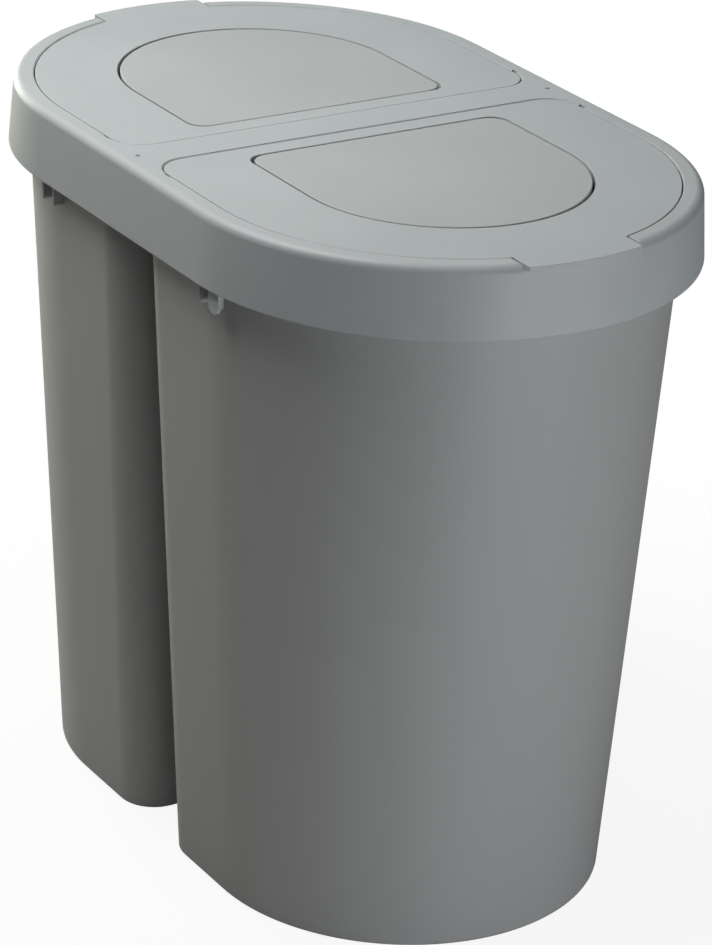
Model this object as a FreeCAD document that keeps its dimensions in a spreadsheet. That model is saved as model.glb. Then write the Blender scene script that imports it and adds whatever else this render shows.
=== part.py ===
import FreeCAD, Part
import math
import os
import Sketcher

# Double recycling bin: two D-shaped tubs stand back to back under one shared lid frame.
# Each tub has its own D-shaped lid, hinged along the frame's centre bar and lifted by
# a tab at its round end, and each lid holds a D-shaped flap that swings on stub pins.
#
# Frame: millimetres, +Z up, origin on the floor under the middle of the object.
# +X runs through both tubs. The right half is drawn at +X. The left tub, lid and flap
# are the same mouldings, turned half a turn about Z by their Placement.

V = FreeCAD.Vector
TURN_HALF = FreeCAD.Rotation(V(0, 0, 1), 180)
ALONG_Y = FreeCAD.Rotation(V(1, 0, 0), -90)
WEDGE_UPRIGHT = FreeCAD.Rotation(V(1, 0, 0), 90)
FACE_BACK = FreeCAD.Rotation(V(0, 1, 0), 180)
HANDS = (("right", False), ("left", True))

QUARTER_TURN = math.pi / 2
HALF_ROUND_DEG = 180
SAME_LEVEL = 0.01
MM3_IN_CM3 = 1000

RIBS_ROUND_END = 7
STRAIGHT_RIBS = (-74, 0, 74)
BAR_RIBS = (-120, -60, 0, 60, 120)
EDGE_STEPS = 3

# name, value, what it is
SIZES = [
    ("total_height", 500.0, "floor to the frame's top face"),
    ("end_centre", 106.5, "centre of the frame's round ends from the middle"),
    ("frame_radius", 173.5, "round end of the frame at its top"),
    ("frame_flare", 3.5, "how much wider the skirt's lower edge is"),
    ("skirt_depth", 48.0, "height of the frame's skirt"),
    ("frame_wall", 2.6, "wall of the frame"),
    ("frame_round", 6.0, "radius of the frame's rounded top edge, made in bevels"),
    ("ceiling_bevel", 3.4, "bevel inside that edge"),
    ("bar_half", 15.4, "half the width of the centre bar"),
    ("well_radius", 160.0, "round end of the opening that a lid drops into"),
    ("well_corner", 23.0, "corner of that opening beside the bar"),
    ("well_wall", 2.4, "wall round that opening"),
    ("lid_drop", 0.8, "top of the lids below the frame's top face"),
    ("ledge_width", 7.0, "ledge that a lid's rim rests on"),
    ("ledge_thick", 2.4, "thickness of that ledge"),
    ("seat_gap", 0.3, "gap between a lid's rim and its ledge"),
    ("rib_thick", 2.0, "ribs inside the frame's skirt"),
    ("rib_reach", 172.7, "outer end of those ribs, in the skirt's wall"),
    ("bar_foot", 473.2, "lower edge of the walls under the centre bar"),
    ("cut_depth", 32.0, "depth of the cuts for the openings, past all walls"),
    ("lid_inner", 16.3, "straight edge of a lid from the middle"),
    ("lid_centre", 106.6, "centre of a lid's round end"),
    ("lid_radius", 159.1, "round end of a lid"),
    ("lid_corner", 22.3, "corner of a lid beside the bar"),
    ("lid_plate", 2.4, "thickness of a lid's top"),
    ("lid_rim", 2.2, "wall of a lid's turned-down rim"),
    ("lid_depth", 9.0, "depth of that rim"),
    ("lid_bevel", 0.6, "bevelled top edge of a lid"),
    ("hinge_place", 41.0, "hinge axis of a lid from the middle"),
    ("hinge_drop", 5.0, "hinge axis below the lids' top"),
    ("hinge_pin", 3.0, "radius of a lid's hinge pin"),
    ("pin_play", 0.05, "radial play of the pins"),
    ("hinge_reach", 165.2, "end of a hinge pin from the middle"),
    ("stop_place", 46.8, "end of the ledges, which stops a lid that is fully open"),
    ("tab_half", 42.0, "half the width of a lid's lifting tab"),
    ("tab_radius", 176.8, "outer edge of the tab"),
    ("tab_thick", 2.6, "thickness of the tab"),
    ("tab_root", 250.0, "inner end of the tab, inside the lid"),
    ("tab_gap", 0.45, "gap on each side of the tab"),
    ("tab_floor", 3.9, "thickness of the frame under the tab's recess"),
    ("mouth_inner", 30.4, "straight edge of the flap's opening"),
    ("mouth_radius", 100.1, "round end of the flap's opening"),
    ("mouth_corner", 11.4, "corner of the flap's opening"),
    ("collar_wall", 2.0, "wall round the flap's opening"),
    ("collar_depth", 12.0, "depth of that wall below the lid's top"),
    ("flap_inner", 32.5, "straight edge of a flap"),
    ("flap_centre", 114.0, "centre of a flap's round end"),
    ("flap_radius", 98.0, "round end of a flap"),
    ("flap_corner", 9.3, "corner of a flap"),
    ("flap_plate", 1.8, "thickness of a flap's top"),
    ("flap_rim", 2.0, "wall of a flap's turned-down rim"),
    ("flap_depth", 20.0, "depth of that rim"),
    ("flap_bevel", 1.5, "bevelled top edge of a flap"),
    ("flap_rib", 1.8, "ribs under a flap and under a lid"),
    ("flap_rib_side", 41.0, "a flap's long ribs from its middle line"),
    ("flap_rib_end", 201.0, "outer end of those ribs, in the flap's rim"),
    ("pivot_place", 112.95, "pivot of a flap from the middle, over its centre of mass"),
    ("pivot_drop", 3.6, "pivot of a flap below the lids' top"),
    ("pivot_pin", 2.0, "radius of a flap's pivot pin"),
    ("pivot_reach", 103.8, "end of a pivot pin from the middle"),
    ("rim_height", 478.0, "height of a tub, where the frame sits on it"),
    ("tub_centre", 99.2, "centre of a tub's round end"),
    ("foot_inner", 19.1, "flat side of a tub at the floor, from the middle"),
    ("foot_radius", 139.6, "round end of a tub at the floor"),
    ("brim_inner", 10.2, "flat side of a tub at its brim, from the middle"),
    ("brim_radius", 166.7, "round end of a tub at its brim"),
    ("tub_corner", 26.5, "corner of a tub beside its flat side"),
    ("tub_wall", 2.0, "wall of a tub"),
    ("floor_thick", 3.0, "bottom of a tub"),
    ("foot_raise", 3.0, "how far the bottom is raised inside the foot ring"),
    ("foot_ring", 14.0, "width of the foot ring"),
    ("foot_bevel", 2.0, "bevelled lower edge of a tub"),
    ("floor_bevel", 7.0, "sloping edge of a tub's floor inside"),
    ("flange_out", 2.8, "how far the brim's flange stands out"),
    ("flange_thick", 2.4, "thickness of that flange"),
    ("gusset_near", 98.0, "first gusset under the flange, from the middle"),
    ("gusset_gap", 15.0, "from one gusset to the next"),
    ("gusset_thick", 2.0, "thickness of a gusset"),
    ("gusset_foot", 440.0, "lower end of the gussets"),
    ("tongue_near", 110.4, "near edge of a locating tongue, from the middle"),
    ("tongue_width", 13.0, "width of a tongue"),
    ("tongue_side", 170.0, "inner face of a tongue from the middle"),
    ("tongue_thick", 2.4, "thickness of a tongue"),
    ("tongue_foot", 435.0, "lower end of a tongue"),
]


def make_sheet(doc):
    """The driving dimensions, one row each: name, value, note."""
    sheet = doc.addObject("Spreadsheet::Sheet", "sheet")
    for row, (name, value, note) in enumerate(SIZES, start=1):
        sheet.set(f"A{row}", name)
        sheet.set(f"B{row}", str(value))
        sheet.set(f"C{row}", note)
        sheet.setAlias(f"B{row}", name)
    doc.recompute()
    return sheet


def size(name):
    """An expression that reads one cell of the sheet."""
    return f"<<sheet>>.{name}"


def worked_out(owner, expression):
    """The number that an expression gives now."""
    return float(owner.evalExpression(expression))


LID_TOP = f"({size('total_height')} - {size('lid_drop')})"
HINGE_LEVEL = f"({LID_TOP} - {size('hinge_drop')})"
PIVOT_LEVEL = f"({LID_TOP} - {size('pivot_drop')})"
SKIRT_FOOT = f"({size('total_height')} - {size('skirt_depth')})"
LEDGE_TOP = f"({LID_TOP} - {size('lid_depth')} - {size('seat_gap')})"
LEDGE_FOOT = f"({LEDGE_TOP} - {size('ledge_thick')})"
PLATE_FOOT = f"({size('total_height')} - {size('frame_wall')})"


# ---------------------------------------------------------------- sketches


def origin_plane(body, role):
    return next(f for f in body.Origin.OriginFeatures if f.Role == role)


def flat_sketch(body, name, height, across="0", turned=False):
    """A level sketch at a height, its own origin moved across along X or turned half round."""
    sketch = body.newObject("Sketcher::SketchObject", name)
    sketch.AttachmentSupport = [(origin_plane(body, "XY_Plane"), "")]
    sketch.MapMode = "FlatFace"
    if turned:
        sketch.AttachmentOffset = FreeCAD.Placement(V(0, 0, 0), TURN_HALF)
    sketch.setExpression("AttachmentOffset.Base.x", across)
    sketch.setExpression("AttachmentOffset.Base.z", height)
    return sketch


def side_sketch(body, name, out="0", turned=False):
    """An upright sketch facing -Y, moved out that way, or the same turned half round."""
    sketch = body.newObject("Sketcher::SketchObject", name)
    sketch.AttachmentSupport = [(origin_plane(body, "XZ_Plane"), "")]
    sketch.MapMode = "FlatFace"
    if turned:
        sketch.AttachmentOffset = FreeCAD.Placement(V(0, 0, 0), FACE_BACK)
        out = f"-({out})"
    sketch.setExpression("AttachmentOffset.Base.z", out)
    return sketch


def dimension(sketch, kind, where, name, expression):
    """A named dimension that follows the sheet."""
    value = worked_out(sketch, expression)
    index = sketch.addConstraint(Sketcher.Constraint(kind, *where, value))
    sketch.renameConstraint(index, name)
    sketch.setExpression(f"Constraints.{name}", expression)


def join_round(sketch, edges):
    """Join edges end to start, each smooth with the next."""
    for here, there in zip(edges, edges[1:] + edges[:1]):
        sketch.addConstraint(Sketcher.Constraint("Tangent", here, 2, there, 1))


def join_sharp(sketch, pairs):
    for here, there in pairs:
        sketch.addConstraint(Sketcher.Constraint("Coincident", here, 2, there, 1))


def add_line(sketch, x0, y0, x1, y1):
    return sketch.addGeometry(Part.LineSegment(V(x0, y0, 0), V(x1, y1, 0)), False)


def add_arc(sketch, x, y, radius, start, end):
    """An arc from start to end, in quarter turns from +X."""
    circle = Part.Circle(V(x, y, 0), V(0, 0, 1), radius)
    arc = Part.ArcOfCircle(circle, start * QUARTER_TURN, end * QUARTER_TURN)
    return sketch.addGeometry(arc, False)


def d_outline(sketch, inner, centre, radius, corner):
    """A D: straight edge at inner, half circle about centre, two rounded corners."""
    x, c, r, k = (worked_out(sketch, e) for e in (inner, centre, radius, corner))
    back = add_line(sketch, x, r - k, x, k - r)
    low = add_arc(sketch, x + k, k - r, k, 2, 3)
    near = add_line(sketch, x + k, -r, c, -r)
    end = add_arc(sketch, c, 0, r, -1, 1)
    far = add_line(sketch, c, r, x + k, r)
    high = add_arc(sketch, x + k, r - k, k, 1, 2)
    join_round(sketch, [back, low, near, end, far, high])
    sketch.addConstraint(Sketcher.Constraint("Vertical", back))
    sketch.addConstraint(Sketcher.Constraint("Horizontal", near))
    sketch.addConstraint(Sketcher.Constraint("Horizontal", far))
    sketch.addConstraint(Sketcher.Constraint("Equal", low, high))
    sketch.addConstraint(Sketcher.Constraint("PointOnObject", end, 3, -1))
    dimension(sketch, "Radius", (low,), "corner", corner)
    dimension(sketch, "Radius", (end,), "radius", radius)
    dimension(sketch, "DistanceX", (-1, 1, end, 3), "centre", centre)
    dimension(sketch, "DistanceX", (-1, 1, back, 1), "inner", inner)


def bay_outline(sketch, inner, outer, half, corner):
    """The part of a D beside its straight edge, cut off square at outer."""
    x, e, r, k = (worked_out(sketch, f) for f in (inner, outer, half, corner))
    back = add_line(sketch, x, r - k, x, k - r)
    low = add_arc(sketch, x + k, k - r, k, 2, 3)
    near = add_line(sketch, x + k, -r, e, -r)
    cut = add_line(sketch, e, -r, e, r)
    far = add_line(sketch, e, r, x + k, r)
    high = add_arc(sketch, x + k, r - k, k, 1, 2)
    for here, there in ((back, low), (low, near), (far, high), (high, back)):
        sketch.addConstraint(Sketcher.Constraint("Tangent", here, 2, there, 1))
    join_sharp(sketch, [(near, cut), (cut, far)])
    sketch.addConstraint(Sketcher.Constraint("Vertical", back))
    sketch.addConstraint(Sketcher.Constraint("Horizontal", near))
    sketch.addConstraint(Sketcher.Constraint("Equal", low, high))
    sketch.addConstraint(Sketcher.Constraint("Symmetric", cut, 1, cut, 2, -1))
    dimension(sketch, "Radius", (low,), "corner", corner)
    dimension(sketch, "DistanceX", (-1, 1, back, 1), "inner", inner)
    dimension(sketch, "DistanceX", (-1, 1, cut, 1), "outer", outer)
    dimension(sketch, "DistanceY", (-1, 1, cut, 2), "half", half)


def tab_outline(sketch, root, half, centre, radius):
    """A band of half-width half from root out to a circle about centre."""
    x, w, c, r = (worked_out(sketch, e) for e in (root, half, centre, radius))
    tip = c + (r * r - w * w) ** 0.5
    near = add_line(sketch, x, -w, tip, -w)
    arc = Part.Arc(V(tip, -w, 0), V(c + r, 0, 0), V(tip, w, 0))
    edge = sketch.addGeometry(arc, False)
    far = add_line(sketch, tip, w, x, w)
    back = add_line(sketch, x, w, x, -w)
    join_sharp(sketch, [(near, edge), (edge, far), (far, back), (back, near)])
    sketch.addConstraint(Sketcher.Constraint("Horizontal", near))
    sketch.addConstraint(Sketcher.Constraint("Symmetric", back, 1, back, 2, -1))
    sketch.addConstraint(Sketcher.Constraint("Horizontal", far))
    sketch.addConstraint(Sketcher.Constraint("PointOnObject", edge, 3, -1))
    dimension(sketch, "Radius", (edge,), "radius", radius)
    dimension(sketch, "DistanceX", (-1, 1, edge, 3), "centre", centre)
    dimension(sketch, "DistanceX", (-1, 1, back, 1), "root", root)
    dimension(sketch, "DistanceY", (-1, 1, back, 1), "half", half)


def rib_outline(sketch, near, far, thick):
    """A thin rectangle along +Y, from near to far, centred on the sketch's Y axis."""
    a, b, w = (worked_out(sketch, e) for e in (near, far, thick))
    low = add_line(sketch, -w / 2, a, w / 2, a)
    right = add_line(sketch, w / 2, a, w / 2, b)
    high = add_line(sketch, w / 2, b, -w / 2, b)
    left = add_line(sketch, -w / 2, b, -w / 2, a)
    join_sharp(sketch, [(low, right), (right, high), (high, left), (left, low)])
    sketch.addConstraint(Sketcher.Constraint("Vertical", right))
    sketch.addConstraint(Sketcher.Constraint("Symmetric", low, 1, low, 2, -2))
    sketch.addConstraint(Sketcher.Constraint("Symmetric", high, 1, high, 2, -2))
    dimension(sketch, "DistanceX", (low, 1, low, 2), "thick", thick)
    dimension(sketch, "DistanceY", (-1, 1, low, 1), "near", near)
    dimension(sketch, "DistanceY", (-1, 1, high, 2), "far", far)


def slot_outline(sketch, across, centre, top, radius):
    """A U, open at the top: half circle about (across, centre), sides up to top."""
    x, z, h, r = (worked_out(sketch, e) for e in (across, centre, top, radius))
    bowl = add_arc(sketch, x, z, r, 2, 4)
    right = add_line(sketch, x + r, z, x + r, h)
    roof = add_line(sketch, x + r, h, x - r, h)
    left = add_line(sketch, x - r, h, x - r, z)
    sketch.addConstraint(Sketcher.Constraint("Tangent", bowl, 2, right, 1))
    sketch.addConstraint(Sketcher.Constraint("Tangent", left, 2, bowl, 1))
    join_sharp(sketch, [(right, roof), (roof, left)])
    sketch.addConstraint(Sketcher.Constraint("Vertical", right))
    sketch.addConstraint(Sketcher.Constraint("Vertical", left))
    sketch.addConstraint(Sketcher.Constraint("Horizontal", roof))
    dimension(sketch, "Radius", (bowl,), "radius", radius)
    dimension(sketch, "DistanceX", (-1, 1, bowl, 3), "across", across)
    dimension(sketch, "DistanceY", (-1, 1, bowl, 3), "centre", centre)
    dimension(sketch, "DistanceY", (-1, 1, roof, 1), "top", top)


def tongue_outline(sketch, near, width, foot, top):
    """A tongue that hangs from top, with a half-round lower end."""
    x, w, z, h = (worked_out(sketch, e) for e in (near, width, foot, top))
    bowl = add_arc(sketch, x + w / 2, z + w / 2, w / 2, 2, 4)
    right = add_line(sketch, x + w, z + w / 2, x + w, h)
    roof = add_line(sketch, x + w, h, x, h)
    left = add_line(sketch, x, h, x, z + w / 2)
    sketch.addConstraint(Sketcher.Constraint("Tangent", bowl, 2, right, 1))
    sketch.addConstraint(Sketcher.Constraint("Tangent", left, 2, bowl, 1))
    join_sharp(sketch, [(right, roof), (roof, left)])
    sketch.addConstraint(Sketcher.Constraint("Vertical", right))
    sketch.addConstraint(Sketcher.Constraint("Vertical", left))
    sketch.addConstraint(Sketcher.Constraint("Horizontal", roof))
    dimension(sketch, "Radius", (bowl,), "radius", f"{width} / 2")
    dimension(sketch, "DistanceX", (-1, 1, roof, 2), "near", near)
    dimension(sketch, "DistanceY", (-1, 1, bowl, 3), "centre", f"{foot} + {width} / 2")
    dimension(sketch, "DistanceY", (-1, 1, roof, 1), "top", top)


# ---------------------------------------------------------------- features


def loft(body, kind, name, sections):
    """A straight-sided loft through sketches; kind is Additive or Subtractive."""
    feature = body.newObject(f"PartDesign::{kind}Loft", name)
    feature.Profile = sections[0]
    feature.Sections = sections[1:]
    feature.Ruled = True
    body.Document.recompute()
    return feature


def pull(body, kind, name, sketch, length, reverse=False, both_ways=False):
    """A Pad or a Pocket of one sketch; a Pad goes up and a Pocket down."""
    feature = body.newObject(f"PartDesign::{kind}", name)
    feature.Profile = sketch
    feature.setExpression("Length", length)
    feature.Reversed = reverse
    feature.Midplane = both_ways
    sketch.Document.recompute()
    return feature


def block(body, name, x, y, z):
    """A box between two places on each axis, each place an expression."""
    feature = body.newObject("PartDesign::AdditiveBox", name)
    for side, axis, (low, high) in zip(("Length", "Width", "Height"), "xyz", (x, y, z)):
        feature.setExpression(side, f"({high}) - ({low})")
        feature.setExpression(f"Placement.Base.{axis}", low)
    body.Document.recompute()
    return feature


def blocks_both_sides(body, name, x, y, z):
    """The same box at +Y and at -Y."""
    low, high = y
    far = block(body, f"{name}_far", x, (low, high), z)
    near = block(body, f"{name}_near", x, (f"-({high})", f"-({low})"), z)
    return [far, near]


def rods_both_sides(body, name, radius, x, z, inner, outer):
    """A round pin along Y at +Y and at -Y, from inner out to outer."""
    pins = []
    for hand, start in (("far", inner), ("near", f"-({outer})")):
        pin = body.newObject("PartDesign::AdditiveCylinder", f"{name}_{hand}")
        pin.Placement = FreeCAD.Placement(V(0, 0, 0), ALONG_Y)
        pin.setExpression("Radius", radius)
        pin.setExpression("Height", f"({outer}) - ({inner})")
        pin.setExpression("Placement.Base.x", x)
        pin.setExpression("Placement.Base.y", start)
        pin.setExpression("Placement.Base.z", z)
        pins.append(pin)
    body.Document.recompute()
    return pins


def edges_where(feature, test):
    """The names of a feature's edges whose vertices and middle all pass a test."""
    names = []
    for number, edge in enumerate(feature.Shape.Edges, start=1):
        middle = edge.valueAt((edge.FirstParameter + edge.LastParameter) / 2)
        if all(test(p) for p in [v.Point for v in edge.Vertexes] + [middle]):
            names.append(f"Edge{number}")
    return names


def bevel_edges(body, name, base, width, test):
    """A bevel on the edges that pass a test."""
    feature = body.newObject("PartDesign::Chamfer", name)
    feature.Base = (base, edges_where(base, test))
    feature.setExpression("Size", width)
    body.Document.recompute()
    return feature


def at_level(level):
    return lambda point: abs(point.z - level) < SAME_LEVEL


def half_round(body, name, original, sketch, clockwise):
    """Copies of a rib, spread over half a turn about its sketch's own upright axis."""
    pattern = body.newObject("PartDesign::PolarPattern", name)
    pattern.Originals = [original]
    pattern.Axis = (sketch, ["N_Axis"])
    pattern.Reversed = clockwise
    pattern.Angle = HALF_ROUND_DEG
    pattern.Occurrences = RIBS_ROUND_END
    body.Tip = pattern
    body.Document.recompute()
    return pattern


def on_hand(span, turned):
    """A span along X, or the same span on the other side of the middle."""
    low, high = span
    return (f"-({high})", f"-({low})") if turned else span


def new_body(doc, name):
    body = doc.addObject("PartDesign::Body", name)
    body.Label = name
    return body


def long_round(body, kind, name, low, high, low_radius, high_radius):
    """A long round block, tapered: a cone at each end and a wedge between them."""
    centre = size("end_centre")
    height = f"({high}) - ({low})"
    for hand, sign in (("left", "-"), ("right", "")):
        cone = body.newObject(f"PartDesign::{kind}Cone", f"{name}_{hand}")
        cone.setExpression("Radius1", low_radius)
        cone.setExpression("Radius2", high_radius)
        cone.setExpression("Height", height)
        cone.setExpression("Placement.Base.x", f"{sign}{centre}")
        cone.setExpression("Placement.Base.z", low)
        body.Document.recompute()
    wedge = body.newObject(f"PartDesign::{kind}Wedge", f"{name}_middle")
    wedge.Placement = FreeCAD.Placement(V(0, 0, 0), WEDGE_UPRIGHT)
    for edge, far in (("Xmin", f"-{centre}"), ("Xmax", centre), ("Ymin", "0"), ("Ymax", height)):
        wedge.setExpression(edge, far)
    for edge, far in (("Zmin", f"-{low_radius}"), ("Zmax", low_radius)):
        wedge.setExpression(edge, far)
    for edge, far in (("X2min", f"-{centre}"), ("X2max", centre)):
        wedge.setExpression(edge, far)
    for edge, far in (("Z2min", f"-{high_radius}"), ("Z2max", high_radius)):
        wedge.setExpression(edge, far)
    wedge.setExpression("Placement.Base.z", low)
    body.Document.recompute()
    return wedge


# ---------------------------------------------------------------- tub


def on_taper(foot, brim, height):
    """A size of the tub at a height, between its foot and its brim."""
    share = f"({height}) / {size('rim_height')}"
    return f"({size(foot)} + ({size(brim)} - {size(foot)}) * {share})"


def tub_section(body, name, height, inset):
    """The tub's D outline at a height, drawn in by inset."""
    sketch = flat_sketch(body, name, height)
    inner = f"{on_taper('foot_inner', 'brim_inner', height)} + ({inset})"
    radius = f"{on_taper('foot_radius', 'brim_radius', height)} - ({inset})"
    d_outline(sketch, inner, size("tub_centre"), radius, f"{size('tub_corner')} - ({inset})")
    return sketch


def make_tub(doc, name):
    """A tapered D-shaped tub: foot ring, raised bottom, brim flange, gussets under it."""
    body = new_body(doc, name)
    foot = tub_section(body, "foot_outline", "0", size("foot_bevel"))
    knee = tub_section(body, "knee_outline", size("foot_bevel"), "0")
    brim = tub_section(body, "brim_outline", size("rim_height"), "0")
    loft(body, "Additive", "outer_form", [foot, knee, brim])

    flange = tub_section(body, "flange_outline", size("rim_height"), f"-{size('flange_out')}")
    pull(body, "Pad", "flange", flange, size("flange_thick"), reverse=True)
    outer = f"{size('brim_radius')} + {size('flange_out')}"
    for step in (0, 1):
        near = f"{size('gusset_near')} + {step} * {size('gusset_gap')}"
        place = (near, f"{near} + {size('gusset_thick')}")
        reach = (size("foot_radius"), outer)
        level = (size("gusset_foot"), f"{size('rim_height')} - {size('flange_thick')} / 2")
        blocks_both_sides(body, f"gusset_{step}", place, reach, level)

    bottom = f"({size('foot_raise')} + {size('floor_thick')})"
    wall = size("tub_wall")
    low = tub_section(body, "floor_outline", bottom, f"{wall} + {size('floor_bevel')}")
    turn = tub_section(body, "turn_outline", f"{bottom} + {size('floor_bevel')}", wall)
    high = tub_section(body, "mouth_outline", size("rim_height"), wall)
    loft(body, "Subtractive", "hollow", [low, turn, high])

    ring = tub_section(body, "ring_outline", "0", size("foot_ring"))
    pull(body, "Pocket", "foot_recess", ring, size("foot_raise"), reverse=True)
    return body


# ---------------------------------------------------------------- flap


def d_sketch(body, name, height, shape, inset="0", turned=False):
    """A level sketch of a D, its sizes given as (inner, centre, radius, corner)."""
    inner, centre, radius, corner = shape
    sketch = flat_sketch(body, name, height, turned=turned)
    d_outline(
        sketch,
        f"{inner} + ({inset})",
        centre,
        f"{radius} - ({inset})",
        f"{corner} - ({inset})",
    )
    return sketch


FLAP_SHAPE = tuple(size(f"flap_{part}") for part in ("inner", "centre", "radius", "corner"))
LID_SHAPE = tuple(size(f"lid_{part}") for part in ("inner", "centre", "radius", "corner"))
MOUTH_SHAPE = (size("mouth_inner"), size("flap_centre"), size("mouth_radius"), size("mouth_corner"))
WELL_SHAPE = (size("bar_half"), size("lid_centre"), size("well_radius"), size("well_corner"))


def make_flap(doc, name):
    """A shallow D-shaped tray, open below, with ribs and two stub pins."""
    body = new_body(doc, name)
    foot = f"({LID_TOP} - {size('flap_depth')})"
    outline = d_sketch(body, "outline", foot, FLAP_SHAPE)
    tray = pull(body, "Pad", "tray", outline, size("flap_depth"))
    top = at_level(worked_out(body, LID_TOP))
    bevel_edges(body, "top_edge", tray, size("flap_bevel"), top)
    inside = d_sketch(body, "inside", foot, FLAP_SHAPE, size("flap_rim"))
    depth = f"{size('flap_depth')} - {size('flap_plate')}"
    pull(body, "Pocket", "hollow", inside, depth, reverse=True)

    rib = size("flap_rib")
    under = f"{LID_TOP} - {size('flap_plate')} / 2"
    middle = size("pivot_place")
    half = f"({size('flap_radius')} - {size('flap_rim')} / 2)"
    place = (f"{middle} - {rib} / 2", f"{middle} + {rib} / 2")
    block(body, "pivot_rib", place, (f"-{half}", half), (foot, under))
    side = size("flap_rib_side")
    length = (f"{size('flap_inner')} + {rib} / 2", size("flap_rib_end"))
    blocks_both_sides(body, "long_rib", length, (side, f"{side} + {rib}"), (foot, under))
    rods_both_sides(
        body,
        "pivot",
        size("pivot_pin"),
        middle,
        PIVOT_LEVEL,
        f"{size('flap_radius')} - {size('flap_rim')}",
        size("pivot_reach"),
    )
    return body


# ---------------------------------------------------------------- lid


def make_lid(doc, name):
    """A D-shaped lid: rim, lifting tab, collar round the flap's mouth, ribs, pins."""
    body = new_body(doc, name)
    foot = f"({LID_TOP} - {size('lid_depth')})"
    tray = pull(body, "Pad", "tray", d_sketch(body, "outline", foot, LID_SHAPE), size("lid_depth"))
    tab = flat_sketch(body, "tab_outline", f"{LID_TOP} - {size('tab_thick')}")
    tab_outline(tab, size("tab_root"), size("tab_half"), size("lid_centre"), size("tab_radius"))
    whole = pull(body, "Pad", "tab", tab, size("tab_thick"))
    top = at_level(worked_out(body, LID_TOP))
    bevel_edges(body, "top_edge", whole, size("lid_bevel"), top)

    inside = d_sketch(body, "inside", foot, LID_SHAPE, size("lid_rim"))
    depth = f"{size('lid_depth')} - {size('lid_plate')}"
    pull(body, "Pocket", "hollow", inside, depth, reverse=True)

    under = f"({LID_TOP} - {size('lid_plate')} / 2)"
    collar_foot = f"({LID_TOP} - {size('collar_depth')})"
    collar = d_sketch(body, "collar_outline", collar_foot, MOUTH_SHAPE, f"-{size('collar_wall')}")
    pull(body, "Pad", "collar", collar, f"{under} - {collar_foot}")
    boss = f"2 * {size('pivot_pin')}"
    blocks_both_sides(
        body,
        "pivot_boss",
        (f"{size('pivot_place')} - {boss}", f"{size('pivot_place')} + {boss}"),
        (size("mouth_radius"), f"{size('pivot_reach')} + {size('collar_wall')}"),
        (collar_foot, under),
    )
    rib = flat_sketch(body, "rib_outline", foot, size("lid_centre"))
    rib_outline(
        rib,
        f"{size('mouth_radius')} + {size('collar_wall')} / 2",
        f"{size('lid_radius')} - {size('lid_rim')} / 2",
        size("flap_rib"),
    )
    spoke = pull(body, "Pad", "spoke", rib, f"{under} - {foot}")
    half_round(body, "spokes", spoke, rib, True)

    mouth = d_sketch(body, "mouth_outline", LID_TOP, MOUTH_SHAPE)
    pull(body, "Pocket", "mouth", mouth, size("total_height"))
    bore = body.newObject("PartDesign::SubtractiveCylinder", "pivot_bore")
    bore.Placement = FreeCAD.Placement(V(0, 0, 0), ALONG_Y)
    bore.setExpression("Radius", f"{size('pivot_pin')} + {size('pin_play')}")
    bore.setExpression("Height", f"2 * ({size('pivot_reach')} + {size('pin_play')})")
    bore.setExpression("Placement.Base.x", size("pivot_place"))
    bore.setExpression("Placement.Base.y", f"-({size('pivot_reach')} + {size('pin_play')})")
    bore.setExpression("Placement.Base.z", PIVOT_LEVEL)

    rods_both_sides(
        body,
        "hinge",
        size("hinge_pin"),
        size("hinge_place"),
        HINGE_LEVEL,
        f"{size('lid_radius')} - {size('lid_rim')}",
        size("hinge_reach"),
    )
    return body


# ---------------------------------------------------------------- frame


def make_frame(doc, name):
    """The frame over both tubs: skirt, centre bar, wells, ledges, hinge slots, ribs."""
    body = new_body(doc, name)
    wall = size("frame_wall")
    top_level = size("total_height")
    flare = size("frame_flare")
    foot_radius = f"({size('frame_radius')} + {flare})"
    low, low_radius = SKIRT_FOOT, foot_radius
    round_off = size("frame_round")
    for step in range(EDGE_STEPS + 1):
        angle = QUARTER_TURN * step / EDGE_STEPS
        high = f"({top_level} - {round_off} * {1 - math.sin(angle):.4f})"
        high_radius = f"({size('frame_radius')} - {round_off} * {1 - math.cos(angle):.4f})"
        long_round(body, "Additive", f"form_{step}", low, high, low_radius, high_radius)
        low, low_radius = high, high_radius
    bevel = size("ceiling_bevel")
    turn = f"({PLATE_FOOT} - {bevel})"
    inside = f"({size('frame_radius')} - {wall})"
    long_round(body, "Subtractive", "hollow", SKIRT_FOOT, turn, f"({foot_radius} - {wall})", inside)
    ceiling = f"({inside} - {bevel})"
    long_round(body, "Subtractive", "ceiling", turn, PLATE_FOOT, inside, ceiling)

    for hand, turned in HANDS:
        frame_wells(body, hand, turned)
    frame_ribs(body)
    for hand, turned in HANDS:
        frame_openings(body, hand, turned)
        frame_tongues(body, hand, turned)
    return body


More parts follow.
